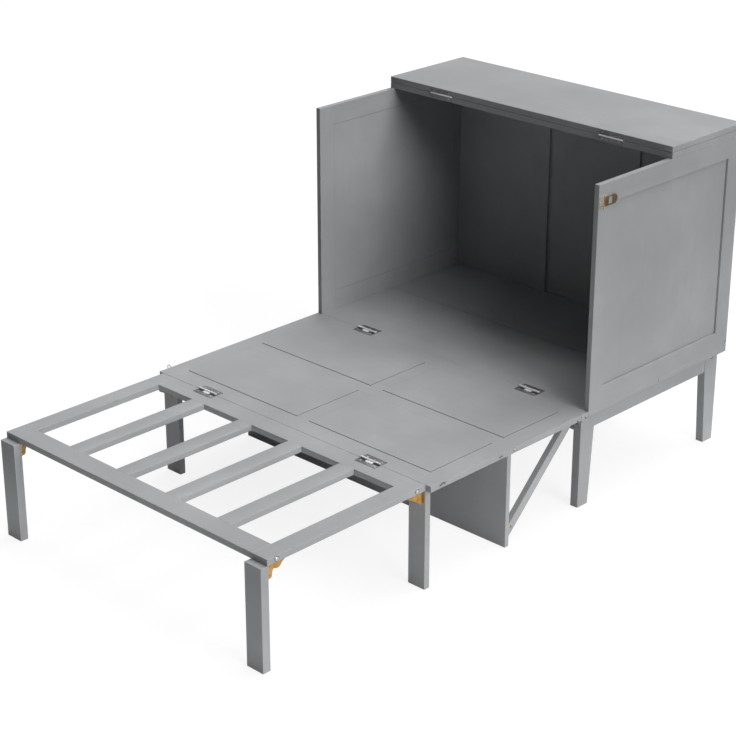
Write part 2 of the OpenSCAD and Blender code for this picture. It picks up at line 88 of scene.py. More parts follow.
def newMaterial(name):
    mat = bpy.data.materials.new(name)
    mat.use_nodes = True
    tree = mat.node_tree
    tree.nodes.clear()
    out = tree.nodes.new("ShaderNodeOutputMaterial")
    shader = tree.nodes.new("ShaderNodeBsdfPrincipled")
    tree.links.new(shader.outputs["BSDF"], out.inputs["Surface"])
    return mat, tree, shader


def place(tree, scale=(1, 1, 1), move=(0, 0, 0)):
    coord = tree.nodes.new("ShaderNodeTexCoord")
    mapping = tree.nodes.new("ShaderNodeMapping")
    mapping.inputs["Scale"].default_value = scale
    mapping.inputs["Location"].default_value = move
    tree.links.new(coord.outputs["Object"], mapping.inputs["Vector"])
    return mapping.outputs["Vector"]


def noise(tree, vector, scale, detail, rough):
    n = tree.nodes.new("ShaderNodeTexNoise")
    n.inputs["Scale"].default_value = scale
    n.inputs["Detail"].default_value = detail
    n.inputs["Roughness"].default_value = rough
    tree.links.new(vector, n.inputs["Vector"])
    return n.outputs["Fac"]


def ramp(tree, fac, stops):  # each stop has a place and a colour or a grey
    r = tree.nodes.new("ShaderNodeValToRGB")
    while len(r.color_ramp.elements) < len(stops):
        r.color_ramp.elements.new(0.5)
    for e, (pos, col) in zip(r.color_ramp.elements, stops):
        e.position = pos
        e.color = (*col, 1) if hasattr(col, "__len__") else (col, col, col, 1)
    tree.links.new(fac, r.inputs["Fac"])
    return r.outputs["Color"]


def mixColour(tree, fac, a, b):
    m = tree.nodes.new("ShaderNodeMix")
    m.data_type = "RGBA"
    for key, value in ((0, fac), (6, a), (7, b)):  # factor and the two colours among the node's sockets
        if isinstance(value, bpy.types.NodeSocket):
            tree.links.new(value, m.inputs[key])
        elif hasattr(value, "__len__"):
            m.inputs[key].default_value = (*value, 1)
        else:
            m.inputs[key].default_value = value
    return m.outputs[2]


def span(tree, value, low, high, toLow, toHigh):
    n = tree.nodes.new("ShaderNodeMapRange")
    for key, number in (("From Min", low), ("From Max", high), ("To Min", toLow), ("To Max", toHigh)):
        n.inputs[key].default_value = number
    tree.links.new(value, n.inputs["Value"])
    return n.outputs["Result"]


def bump(tree, shader, layers):
    last = None
    for height, (strength, distance) in layers:
        b = tree.nodes.new("ShaderNodeBump")
        b.inputs["Strength"].default_value = strength
        b.inputs["Distance"].default_value = distance
        tree.links.new(height, b.inputs["Height"])
        if last:
            tree.links.new(last, b.inputs["Normal"])
        last = b.outputs["Normal"]
    tree.links.new(last, shader.inputs["Normal"])


noiseSpan = (0.3, 0.7)  # most of a noise's values lie between these

# grey paint; a noise is given as scale, detail and roughness, a bump as strength and depth in metres

paintLook = {
    "colour": (0.385, 0.392, 0.402),
    "thin": (0.44, 0.447, 0.455),  # where the coat is thinner
    "deep": (0.35, 0.357, 0.368),  # where it is thicker
    "specular": 0.22,
    "roughness": (0.40, 0.52),
    "clouds": (3.2, 4, 0.6),
    "cloudStops": (0.30, 0.50, 0.72),
    "grain": (70, 5, 0.62),
    "grainStops": (0.35, 0.62),
    "grainStretch": 0.03,  # along the board
    "grainShow": 0.09,  # how much the wood's grain tells in the coat
    "grainBump": (0.05, 0.0004),
    "fine": (350, 2, 0.5),
    "fineBump": (0.04, 0.0003),
    "peel": (900, 1, 0.4),  # the fine dimple of sprayed paint
    "peelBump": (0.05, 0.0002),
    "rub": (38, 4, 0.7),
    "rubMove": (0.3, 0.1, 0.7),
    "rubStops": ((0.56, 0.0), (0.70, 1.0)),
    "edgeThinAndHighlight": 0.5,
    "rubbed": (0.56, 0.555, 0.54),
    # very dark joint colour: dust and painted shade between boards
    "jointDustShade": (30, 3, 0.6),
    "jointDustShadeStops": ((0.3, 0.75), (0.7, 0.95)),
    "jointDustShadeColour": (0.10, 0.102, 0.106),
}


def greyPaint(name, axis, edge=False, joint=False):
    look = paintLook
    mat, tree, shader = newMaterial(name)
    stretch = [1, 1, 1]
    stretch[axis] = look["grainStretch"]
    grainAt = place(tree, stretch)
    flat = place(tree)
    clouds = noise(tree, flat, *look["clouds"])
    grain = noise(tree, grainAt, *look["grain"])
    fine = noise(tree, grainAt, *look["fine"])
    peel = noise(tree, flat, *look["peel"])
    body = ramp(tree, clouds, list(zip(look["cloudStops"], (look["deep"], look["colour"], look["thin"]))))
    fibres = ramp(tree, grain, list(zip(look["grainStops"], (look["deep"], look["thin"]))))
    body = mixColour(tree, look["grainShow"], body, fibres)
    if edge:  # edges catch knocks: the coat is rubbed thin in places, and the whole edge is painted lighter, a painted highlight
        rubbed = ramp(tree, noise(tree, place(tree, move=look["rubMove"]), *look["rub"]), look["rubStops"])
        body = mixColour(tree, rubbed, mixColour(tree, look["edgeThinAndHighlight"], body, look["thin"]), look["rubbed"])
    if joint:  # the line where two boards meet gathers dust and painted shade, darkened in the groove
        body = mixColour(tree, ramp(tree, noise(tree, flat, *look["jointDustShade"]), look["jointDustShadeStops"]), body, look["jointDustShadeColour"])
    tree.links.new(body, shader.inputs["Base Color"])
    shader.inputs["Specular IOR Level"].default_value = look["specular"]
    rough = span(tree, clouds, *noiseSpan, *look["roughness"])
    tree.links.new(rough, shader.inputs["Roughness"])
    bump(tree, shader, [(grain, look["grainBump"]), (fine, look["fineBump"]), (peel, look["peelBump"])])
    return mat


paints = [greyPaint("greyPaintAcross", 0), greyPaint("greyPaintAlong", 1), greyPaint("greyPaintUp", 2)]
# eased edges: real rubbed wear plus a painted highlight that lightens every edge
paintEdgeWornAndLit = greyPaint("greyPaintEdgeWornAndLit", 2, edge=True)

# metals; brush stretches the brushing noise along x, y and z

metalLooks = {
    "plateSteel": {"colour": (0.2, 0.2, 0.205), "worn": (0.3, 0.3, 0.305),
                   "roughness": (0.42, 0.56), "brush": (1, 12, 12), "scale": 160},
    # near white and barely metallic: the barrels' shine is a painted highlight
    "barrelHighlightSteel": {"metallic": 0.15, "colour": (0.86, 0.86, 0.865), "worn": (0.95, 0.95, 0.95),
                    "roughness": (0.30, 0.42), "brush": (1, 8, 8), "scale": 220},
    "zinc": {"colour": (0.36, 0.365, 0.38), "worn": (0.52, 0.525, 0.54),
             "roughness": (0.32, 0.46), "brush": (1, 1, 1), "scale": 420},
    # lighter zinc for the rail bolts' heads: a painted highlight
    "highlightZinc": {"metallic": 0.6, "colour": (0.6, 0.605, 0.62), "worn": (0.8, 0.805, 0.82),
                   "roughness": (0.22, 0.34), "brush": (1, 1, 1), "scale": 420},
    "darkSteel": {"colour": (0.12, 0.12, 0.125), "worn": (0.22, 0.22, 0.23),
                  "roughness": (0.35, 0.5), "brush": (1, 1, 1), "scale": 300},
    "brass": {"colour": (0.52, 0.295, 0.075), "worn": (0.68, 0.42, 0.14),
              "roughness": (0.34, 0.48), "brush": (1, 9, 1), "scale": 130},
    "paleBrass": {"metallic": 0.5, "colour": (0.58, 0.50, 0.37), "worn": (0.80, 0.74, 0.62),
                  "roughness": (0.22, 0.36), "brush": (1, 1, 7), "scale": 150},
    "bronze": {"metallic": 0.8, "colour": (0.33, 0.235, 0.13), "worn": (0.55, 0.43, 0.29),
               "roughness": (0.30, 0.44), "brush": (1, 1, 7), "scale": 150},
}
metalWear = {
    "blotch": (45, 4, 0.6),
    "blotchStops": (0.32, 0.66),
    "blotchBump": (0.05, 0.0002),
    "brush": (3, 0.55),  # detail and roughness; each metal has its own scale
    "brushBump": (0.14, 0.00012),
    "grime": (12, 5, 0.65),
    "grimeStops": ((0.30, 0.55), (0.46, 0.0)),
    "grimeDull": 0.55,
}


def metal(name):
    look, wear = metalLooks[name], metalWear
    mat, tree, shader = newMaterial(name)
    shader.inputs["Metallic"].default_value = look.get("metallic", 1.0)
    flat = place(tree)
    blotch = noise(tree, flat, *wear["blotch"])
    brush = noise(tree, place(tree, look["brush"]), look["scale"], *wear["brush"])
    grime = noise(tree, flat, *wear["grime"])
    body = ramp(tree, blotch, list(zip(wear["blotchStops"], (look["colour"], look["worn"]))))
    dull = tuple(c * wear["grimeDull"] for c in look["colour"])
    body = mixColour(tree, ramp(tree, grime, wear["grimeStops"]), body, dull)
    tree.links.new(body, shader.inputs["Base Color"])
    tree.links.new(span(tree, brush, *noiseSpan, *look["roughness"]), shader.inputs["Roughness"])
    bump(tree, shader, [(brush, wear["brushBump"]), (blotch, wear["blotchBump"])])
    return mat


finishes = {name: metal(name) for name in metalLooks}

mortiseShadeLook = {"noise": (600, 2, 0.5), "stops": ((0.3, 0.012), (0.7, 0.03)), "roughness": 0.7}


# near black sheet: painted shade in the flaps' mortises
def paintedMortiseShade():
    mat, tree, shader = newMaterial("paintedMortiseShade")
    shade = noise(tree, place(tree), *mortiseShadeLook["noise"])
    tree.links.new(ramp(tree, shade, mortiseShadeLook["stops"]), shader.inputs["Base Color"])
    shader.inputs["Roughness"].default_value = mortiseShadeLook["roughness"]
    return mat


mortiseShade = paintedMortiseShade()
jointShade = greyPaint("greyPaintJoint", 2, joint=True)
print("finishes made")


# helpers for meshes

merge = {
    "cad": 2e-6,  # corners of a CAD mesh nearer than this, in metres, become one
    "flat": 0.6,  # faces that turn by fewer degrees become one
    "line": 1e-6,  # as cad, for a plate drawn as a line
}


def mergedCopy(node):
    bm = bmesh.new()
    bm.from_mesh(cadNodes[node].data)
    bmesh.ops.remove_doubles(bm, verts=bm.verts, dist=merge["cad"])
    bmesh.ops.dissolve_limit(bm, angle_limit=math.radians(merge["flat"]), verts=bm.verts, edges=bm.edges)
    return bm


def sharpEdges(bm, angle):
    return [e for e in bm.edges if len(e.link_faces) == 2 and e.calc_face_angle(0) > math.radians(angle)]


def easeEdges(bm, edges, by, steps=2, material=0, clamp=True):
    bmesh.ops.bevel(bm, geom=edges, offset=by * mm, segments=steps, profile=0.5, affect="EDGES",
                    clamp_overlap=clamp, material=material)


def cutWide(bm):  # faces of more than four corners shade badly
    bmesh.ops.triangulate(bm, faces=[f for f in bm.faces if len(f.verts) > 4])


def shadeRound(mesh, angle):
    mesh.shade_smooth()
    mesh.set_sharp_from_angle(angle=math.radians(angle))


def finishMesh(bm, name, materials, body, smooth=None):
    mesh = bpy.data.meshes.new(name)
    bm.to_mesh(mesh)
    bm.free()
    piece = added(name, mesh)
    for mat in materials:
        mesh.materials.append(mat)
    if smooth is not None:
        shadeRound(mesh, smooth)
    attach(piece, body)
    return piece


def bodyOf(node):
    return cadNodes[node]["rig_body"]


# boards from the CAD, with eased edges

boards = {
    "sharp": 25,  # edges that turn by more degrees are eased
    "steps": 3,
    "heavy": {"ease": 1.0, "edge": paintEdgeWornAndLit, "nodes": [
        "floor_front", "floor_rear", "front_legs", "rear_legs", "top_rear_leaf", "top_rear_lip",
        "top_front_leaf", "top_front_lip", "foot_leg_left", "foot_leg_right", "mid_leg_left", "mid_leg_right",
        "support_board", "brace_left", "brace_right"]},
    "framed": {"ease": 0.7, "edge": paintEdgeWornAndLit, "nodes": [
        "side_stiles_left", "side_rails_left", "side_stiles_right", "side_rails_right",
        "panel_stiles", "panel_rails", "panel_mid_rail", "panel_mullions",
        "foot_side_rails", "foot_end_rail", "foot_head_rail", "rear_rails", "back_boards",
        "back_battens", "front_apron", "rear_apron", "side_aprons", "floor_bearer"]},
    "inset": {"ease": 0.9, "edge": jointShade, "nodes": ["side_inset_left", "side_inset_right", "panel_insets"]},
}


def islands(bm):
    left, found = set(bm.faces), []
    while left:
        group, todo = set(), [left.pop()]
        while todo:
            face = todo.pop()
            group.add(face)
            for edge in face.edges:
                for other in edge.link_faces:
                    if other in left:
                        left.discard(other)
                        todo.append(other)
        found.append(group)
    return found


def easedBoard(node, ease, edge):
    bm = mergedCopy(node)
    for group in islands(bm):  # the grain runs along each board's longest side
        spots = [v.co for f in group for v in f.verts]
        size = [max(p[i] for p in spots) - min(p[i] for p in spots) for i in range(3)]
        for f in group:
            f.material_index = size.index(max(size))
    easeEdges(bm, sharpEdges(bm, boards["sharp"]), ease, boards["steps"], material=len(paints))
    piece = finishMesh(bm, "wood_" + node, paints + [edge], bodyOf(node))
    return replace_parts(piece, node)


for group in ("heavy", "framed", "inset"):
    for node in boards[group]["nodes"]:
        easedBoard(node, boards[group]["ease"], boards[group]["edge"])
print("boards eased")


# small metal pieces from the CAD, with eased edges

metalPieces = {
    "brass": {"ease": 0.35, "slot": "bracket_brass", "nodes": [
        "foot_shoe_left", "foot_shoe_right", "mid_shoe_left", "mid_shoe_right", "brace_clevises", "leg_pins"]},
    "darkSteel": {"ease": 0.6, "slot": "hinge_steel", "nodes": ["brace_cleats"]},
    "bronze": {"ease": 0.4, "slot": "latch_bronze", "nodes": ["latch_arm_left", "latch_arm_right"]},
}
metalSharp, metalSmooth = 35, 30  # degrees from which edges are eased, and from which they stay sharp in the shading


def easedMetal(node, ease, mat):
    bm = mergedCopy(node)
    easeEdges(bm, sharpEdges(bm, metalSharp), ease)
    cutWide(bm)
    piece = finishMesh(bm, "metal_" + node, [mat], bodyOf(node), smooth=metalSmooth)
    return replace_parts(piece, node)


for name, group in metalPieces.items():
    for node in group["nodes"]:
        easedMetal(node, group["ease"], finishes[name])
print("metal eased")


# hinges, with plates darker than the barrels, whose near white is a painted highlight

bedPinZ = 323.5
hinges = {
    "centre": 334,  # x of each hinge
    "plateTop": 321.5,  # z of the bed hinges' plates
    "barrelReach": 4.6,  # how far from the pin a face still counts as the barrel
    "ease": 0.22,
    "easeFrom": 12,  # shorter edges stay sharp
    "sharp": 60,
    "pins": {  # y and z of each hinge's pin
        "floor_hinge_leaves": (0, bedPinZ), "floor_hinge_flaps": (0, bedPinZ),
        "foot_hinge_leaves": (plan["footSeam"], bedPinZ), "foot_hinge_flaps": (plan["footSeam"], bedPinZ),
        "top_hinge_leaves": (332.25, 1020.5), "top_hinge_flaps": (332.25, 1020.5),
        "board_hinge_leaves": (-339.2, 298.8), "board_hinge_flaps": (-339.2, 298.8),
    },
}


def hingePiece(node):
    y, z = hinges["pins"][node]
    pin = at(0, y, z)
    bm = mergedCopy(node)
    # faces round the pin get the barrels' painted highlight
    for f in bm.faces:
        far = max(math.hypot(v.co.y - pin.y, v.co.z - pin.z) for v in f.verts)
        f.material_index = int(far < hinges["barrelReach"] * mm)
    long = [e for e in sharpEdges(bm, hinges["sharp"]) if e.calc_length() > hinges["easeFrom"] * mm]
    easeEdges(bm, long, hinges["ease"])
    cutWide(bm)
    steels = [finishes["plateSteel"], finishes["barrelHighlightSteel"]]
    piece = finishMesh(bm, "hinge_" + node, steels, bodyOf(node), smooth=metalSmooth)
    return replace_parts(piece, node)


for node in hinges["pins"]:
    hingePiece(node)
cadNodes["latch_staples"].data.materials.clear()
cadNodes["latch_staples"].data.materials.append(finishes["plateSteel"])

# each bed hinge's flap is cut back on both sides of its middle knuckle, where the mortise shows dark: a near black box
# there is painted shade;
# between the two cuts a bright tongue carries the knuckle, its near white a painted highlight
cutBack = {
    "from": 13.5, "to": 36.5,  # x from the hinge's middle
    "near": 4.0, "far": 11.0,  # y from the seam
    "bottom": 321.3,
    "skin": 0.1,  # stands above the plate
    "tongue": 12.5,  # half the tongue's width
    "tongueMore": 1,  # longer than the cuts at each end
    "tongueBottom": 321.2,
    "tongueSkin": 0.5,
    "tongueEase": 0.2,
}


def boxAt(bm, low, high, ease=0.0):
    fit = Matrix.Translation((low + high) / 2) @ Matrix.Diagonal((*(high - low), 1))
    made = bmesh.ops.create_cube(bm, size=1, matrix=fit)
    if ease:
        easeEdges(bm, list({e for v in made["verts"] for e in v.link_edges}), ease, clamp=False)


def cutBackShadeAndTongues(name, seamY, body):
    bm = bmesh.new()
    c, top = cutBack, hinges["plateTop"]
    # near black boxes: painted shade where the flap is cut back
    for side in (-1, 1):
        for end in (-1, 1):
            middle = side * hinges["centre"]
            x0, x1 = sorted((middle + end * c["from"], middle + end * c["to"]))
            boxAt(bm, at(x0, seamY - c["far"], c["bottom"]), at(x1, seamY - c["near"], top + c["skin"]))
    cuts = len(bm.faces)
    # near white tongues: painted highlight
    for side in (-1, 1):
        middle = side * hinges["centre"]
        low = at(middle - c["tongue"], seamY - c["far"] - c["tongueMore"], c["tongueBottom"])
        high = at(middle + c["tongue"], seamY - c["near"] + c["tongueMore"], top + c["tongueSkin"])
        boxAt(bm, low, high, c["tongueEase"])
    bm.faces.ensure_lookup_table()
    for f in bm.faces[cuts:]:
        f.material_index = 1
    return finishMesh(bm, name, [mortiseShade, finishes["barrelHighlightSteel"]], body)


cutBackShadeAndTongues("floor_flap_mortises", 0, "front_panel")
cutBackShadeAndTongues("foot_flap_mortises", plan["footSeam"], "foot_frame")
print("hinges finished")


# turned heads of screws and bolts

headRings = {  # corners, then outline, radius and height of each ring, from the rim inwards
    "hingeScrew": (32, [("", 2.9, -0.2), ("", 2.9, 0.15), ("", 2.5, 0.4), ("", 1.9, 0.5),
                        ("cross", 1.7, 0.5), ("cross", 1.2, -0.1)]),
    "railBolt": (24, [("", 5.6, 0.6), ("", 5.6, 1.0), ("", 5.2, 1.6), ("", 4.4, 2.0), ("", 3.4, 2.15),
                      ("hex", 2.9, 2.15), ("hex", 2.6, 0.9)]),
    "washer": (24, [("", 7.6, 0), ("", 7.6, 0.5), ("", 7.2, 0.8), ("", 4.0, 0.8)]),
    "caseBolt": (24, [("", 5.0, 0), ("", 5.0, 0.6), ("", 4.5, 1.4), ("", 3.4, 2.0), ("", 2.6, 2.2),
                      ("hex", 2.3, 2.2), ("hex", 2.1, 0.8)]),
    "edgeStud": (16, [("", 2.6, 0), ("", 2.6, 1.6), ("", 2.3, 2.7), ("", 1.5, 3.5), ("", 0.6, 3.8)]),
}
crossArm = 0.3  # half the width of a cross's arm, as a share of its length
headSmooth = 32


def reach(outline, a):  # how far the outline goes at this angle, as a share of its radius
    if outline == "hex":
        return math.cos(math.pi / 6) / math.cos(a % (math.pi / 3) - math.pi / 6)
    if outline == "cross":
        a = abs((a + math.pi / 4) % (math.pi / 2) - math.pi / 4)
        return min(1 / math.cos(a), crossArm / max(math.sin(a), 0.01))  # never divides by zero
    return 1


def turned(name, count, rings):
    bm = bmesh.new()
    loops = []
    for outline, radius, height in rings:
        loop = []
        for i in range(count):
            a = 2 * math.pi * i / count
            far = radius * mm * reach(outline, a)
            loop.append(bm.verts.new((far * math.cos(a), far * math.sin(a), height * mm)))
        loops.append(loop)
    for under, over in zip(loops, loops[1:]):
        for i in range(count):
            bm.faces.new((under[i], under[(i + 1) % count], over[(i + 1) % count], over[i]))
    bm.faces.new(loops[0][::-1])
    bm.faces.new(loops[-1])
    bmesh.ops.recalc_face_normals(bm, faces=bm.faces)
    mesh = bpy.data.meshes.new(name)
    bm.to_mesh(mesh)
    bm.free()
    shadeRound(mesh, headSmooth)
    return added(name, mesh)


heads = {name: turned(name, *rings) for name, rings in headRings.items()}


# helpers for nodes trees that make pieces

def newTree(name, inputs, result):
    tree = bpy.data.node_groups.new(name, "GeometryNodeTree")
    sockets = {}
    for key, kind in inputs:
        socket = tree.interface.new_socket(key, in_out="INPUT", socket_type="NodeSocket" + kind)
        sockets[key] = socket.identifier
    tree.interface.new_socket(result, in_out="OUTPUT", socket_type="NodeSocketGeometry")
    return tree, sockets


def joinNodes(tree, links):
    for source, output, target, entry in links:
        tree.links.new(source.outputs[output], target.inputs[entry])


def baked(name, carrier, tree, sockets, values, body):
    modifier = carrier.modifiers.new("nodes", "NODES")
    modifier.node_group = tree
    for key, value in values.items():
        modifier[sockets[key]] = value
    mesh = bakedMesh(carrier)
    mesh.name = name
    piece = added(name, mesh)
    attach(piece, body)
    return piece


# a nodes tree that sets one of the heads on every point, facing out of the surface and turned at random

headTurn = {"seed": 7, "most": 6.28}


def headTree():
    inputs = [("Points", "Geometry"), ("Head", "Object"), ("Size", "Float"), ("Turn", "Float"), ("Finish", "Material")]
    tree, sockets = newTree("setHeads", inputs, "Heads")
    make = tree.nodes.new
    given, result = make("NodeGroupInput"), make("NodeGroupOutput")
    out = make("GeometryNodeInputNamedAttribute")
    out.data_type = "FLOAT_VECTOR"
    out.inputs["Name"].default_value = "out"
    lean = make("FunctionNodeAlignRotationToVector")
    lean.axis = "Z"
    chance = make("FunctionNodeRandomValue")
    chance.data_type = "FLOAT"
    chance.inputs["Seed"].default_value = headTurn["seed"]
    chanceLow, chanceHigh, chanceOut = 2, 3, 1  # the node's sockets for floats
    chance.inputs[chanceLow].default_value = 0.0
    spin = make("FunctionNodeAxisAngleToRotation")
    spin.inputs["Axis"].default_value = (0, 0, 1)
    both = make("FunctionNodeRotateRotation")
    both.rotation_space = "LOCAL"
    source = make("GeometryNodeObjectInfo")
    copies = make("GeometryNodeInstanceOnPoints")
    real, paint = make("GeometryNodeRealizeInstances"), make("GeometryNodeSetMaterial")
    joinNodes(tree, [
        (given, "Points", copies, "Points"),
        (given, "Head", source, "Object"),
        (source, "Geometry", copies, "Instance"),
        (out, "Attribute", lean, "Vector"),
        (given, "Turn", chance, chanceHigh),
        (chance, chanceOut, spin, "Angle"),
        (lean, "Rotation", both, "Rotation"),
        (spin, "Rotation", both, "Rotate By"),
        (both, "Rotation", copies, "Rotation"),
        (given, "Size", copies, "Scale"),
        (copies, "Instances", real, "Geometry"),
        (real, "Geometry", paint, "Geometry"),
        (given, "Finish", paint, "Material"),
        (paint, "Geometry", result, "Heads"),
    ])
    return tree, sockets


setHeads, headSockets = headTree()


def headsOn(name, spots, head, finish, body, size=1.0):
    mesh = bpy.data.meshes.new(name + "Points")
    mesh.from_pydata([spot for spot, _ in spots], [], [])
    facing = mesh.attributes.new("out", "FLOAT_VECTOR", "POINT")
    for i, (_, way) in enumerate(spots):
        facing.data[i].vector = way
    values = {"Head": heads[head], "Size": size, "Turn": headTurn["most"], "Finish": finishes[finish]}
    return baked(name, added(name + "Points", mesh), setHeads, headSockets, values, body)


# screws of all hinges

up, down, toFoot = Vector((0, 0, 1)), Vector((0, 0, -1)), Vector((0, -1, 0))
hingeScrews = {  # spread between a row's screws, reach from the seam or pin to the row
    "bed": {"spread": 27, "reach": 14.5},
    "top": {"spread": 31, "reach": 8.9, "face": 333.5, "size": 0.85},
    "board": {"spread": 21, "reach": 9.2, "face": -337.5, "under": 300.5},
}


def row(y, z, way, spread):
    return [(at(side * hinges["centre"] + dx, y, z), way) for side in (-1, 1) for dx in (-spread, 0, spread)]


def bedRow(y):
    return row(y, hinges["plateTop"], up, hingeScrews["bed"]["spread"])


bedReach, footSeam = hingeScrews["bed"]["reach"], plan["footSeam"]
top, board = hingeScrews["top"], hingeScrews["board"]
topPinZ = hinges["pins"]["top_hinge_leaves"][1]
boardPinY, boardPinZ = hinges["pins"]["board_hinge_leaves"]
screwRows = [
    ("floor_hinge_screws", "cabinet", 1.0, bedRow(bedReach)),
    ("panel_hinge_screws", "front_panel", 1.0, bedRow(-bedReach) + bedRow(footSeam + bedReach)
     + row(boardPinY + board["reach"], board["under"], down, board["spread"])),
    ("foot_hinge_screws", "foot_frame", 1.0, bedRow(footSeam - bedReach)),
    ("top_leaf_screws", "top_leaf", top["size"], row(top["face"], topPinZ + top["reach"], toFoot, top["spread"])),
    ("top_fixed_screws", "cabinet", top["size"], row(top["face"], topPinZ - top["reach"], toFoot, top["spread"])),
    ("board_hinge_screws", "support", 1.0, row(board["face"], boardPinZ - board["reach"], toFoot, board["spread"])),
]
for name, body, size, spots in screwRows:
    headsOn(name, spots, "hingeScrew", "zinc", body, size=size)


# bolts, edge fittings and latch screws on both sides; each spot is a y and a z

bolts = {
    "railX": 536.5, "rail": ((-1215.5, 311), (-704, 311)),
    "caseX": plan["half"], "case": ((673, 344), (673, 978)),
    "baseX": 530, "base": ((31, 285), (646, 285)),
}
edgeFittings = {
    "x": 554.6,
    "studs": ((-329, 312), (-31, 314)), "studSize": 1.15,
    "pins": ((-49, 305), (-14, 306)), "pinSize": 1.1,
}
latchScrews = {"x": 556.7, "spots": ((8.5, 937.5), (8.5, 962.5)), "size": 0.8}


def onSides(x, spots):
    return [(at(side * x, y, z), Vector((side, 0, 0))) for side in (-1, 1) for y, z in spots]


railSpots = onSides(bolts["railX"], bolts["rail"])
caseSpots = onSides(bolts["caseX"], bolts["case"]) + onSides(bolts["baseX"], bolts["base"])
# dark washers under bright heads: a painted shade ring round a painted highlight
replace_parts(headsOn("rail_bolt_heads", railSpots, "railBolt", "highlightZinc", "foot_frame"), "rail_bolts")
headsOn("rail_bolt_washers", railSpots, "washer", "darkSteel", "foot_frame")
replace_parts(headsOn("case_bolt_heads", caseSpots, "caseBolt", "zinc", "cabinet"), "case_bolts")
headsOn("panel_edge_studs", onSides(edgeFittings["x"], edgeFittings["studs"]),
        "edgeStud", "zinc", "front_panel", size=edgeFittings["studSize"])
headsOn("panel_edge_pins", onSides(edgeFittings["x"], edgeFittings["pins"]),
        "edgeStud", "darkSteel", "front_panel", size=edgeFittings["pinSize"])
headsOn("latch_plate_screws", onSides(latchScrews["x"], latchScrews["spots"]),
        "hingeScrew", "bronze", "cabinet", size=latchScrews["size"])
print("screws and bolts set")


# helpers for plates and wires that are drawn as lines

def addLine(curve, spots, closed):
    spline = curve.splines.new("POLY")
    spline.points.add(len(spots) - 1)
    for point, spot in zip(spline.points, spots):
        point.co = (*spot, 1)
    spline.use_cyclic_u = closed


def flatPlate(outline, holes, thick, ease):
    curve = bpy.data.curves.new("plate", "CURVE")
    curve.dimensions = "2D"
    curve.fill_mode = "BOTH"
    curve.extrude = (thick / 2 - ease) * mm
    curve.bevel_depth = ease * mm
    curve.bevel_resolution = 1
    curve.offset = -ease * mm
    for points in [outline] + holes:
        addLine(curve, [(u * mm, v * mm, 0) for u, v in points], closed=True)
    bm = bmesh.new()
    bm.from_mesh(bakedMesh(added("plate", curve)))
    bmesh.ops.remove_doubles(bm, verts=bm.verts, dist=merge["line"])
    return bm


def ring(u, v, radius, count):
    angles = [2 * math.pi * i / count for i in range(count)]
    return [(u + radius * math.cos(a), v + radius * math.sin(a)) for a in angles]


def flowing(points, count=5):  # a smooth line through the points
    line = []
    for i in range(len(points) - 1):
        p = [Vector(points[max(0, min(len(points) - 1, i + k))]) for k in (-1, 0, 1, 2)]
        for j in range(count):
            t = j / count
            line.append(tuple(0.5 * (
                (2 * p[1]) + (p[2] - p[0]) * t + (2 * p[0] - 5 * p[1] + 4 * p[2] - p[3]) * t ** 2
                + (-p[0] + 3 * p[1] - 3 * p[2] + p[3]) * t ** 3)))
    return line + [tuple(points[-1])]


def addMoved(target, bm, matrix):
    bmesh.ops.transform(bm, matrix=matrix, verts=bm.verts)
    if matrix.determinant() < 0:
        bmesh.ops.reverse_faces(bm, faces=bm.faces)
    mesh = bpy.data.meshes.new("part")
    bm.to_mesh(mesh)
    bm.free()
    target.from_mesh(mesh)


def upright(way):  # turns a flat plate's u along y, its v up and its thickness along x
    return Matrix(((0, 0, 1, 0), (way, 0, 0, 0), (0, 1, 0, 0), (0, 0, 0, 1)))


# brass brackets of the folding legs: u runs from the pivot to the leg, v up

brackets = {
    "thick": 2, "ease": 0.4, "smooth": 35, "long": 62, "width": 47,
    "legX": 506, "cheekX": 22.5,  # the leg's middle, and each cheek from there
    "pivotHole": (3.1, 20),  # radius and corners
    "lockHole": (-5, 9, 2.1, 14),  # u, v below the top, radius, corners
    "farHole": (9, 5.5, 1.6, 12),  # u from the far end, v below the top, radius, corners
    "screwHole": (2.2, 14),  # radius and corners
    "screwX": (-11, 11), "screwU": (-17, 14),  # from the middle of the top plate
    "cornerX": 1.5, "cornerU": 3,  # cut off at the far end
    "foot": {"pivot": (-1237.2, 265), "toLeg": -1, "near": 6.4, "up": 37, "edge": [
        (-55.6, 31.5), (-52.5, 29), (-47.5, 26.5), (-43, 21.5), (-39, 17), (-34, 14.8), (-28.5, 14.4),
        (-23, 16.2), (-18.5, 17.6), (-15, 16), (-12.6, 11), (-11.4, 4), (-10.6, -1), (-8, -4.6),
        (-2, -6.2), (3.6, -5.8), (6.4, -4)]},
    "mid": {"pivot": (-691.2, 278), "toLeg": 1, "near": 19.3, "up": 24, "edge": [
        (-42.7, 19.5), (-39, 15.5), (-28, 9.5), (-14, 1.5), (-3.5, -5.5), (2.5, -11), (7, -14.6),
        (13.5, -14.9), (19.3, -12)]},
}


def screwSpots(b):  # x and u of the screws in one bracket's top plate
    middle = b["near"] - brackets["long"] / 2
    return [(dx, middle + du) for dx in brackets["screwX"] for du in brackets["screwU"]]


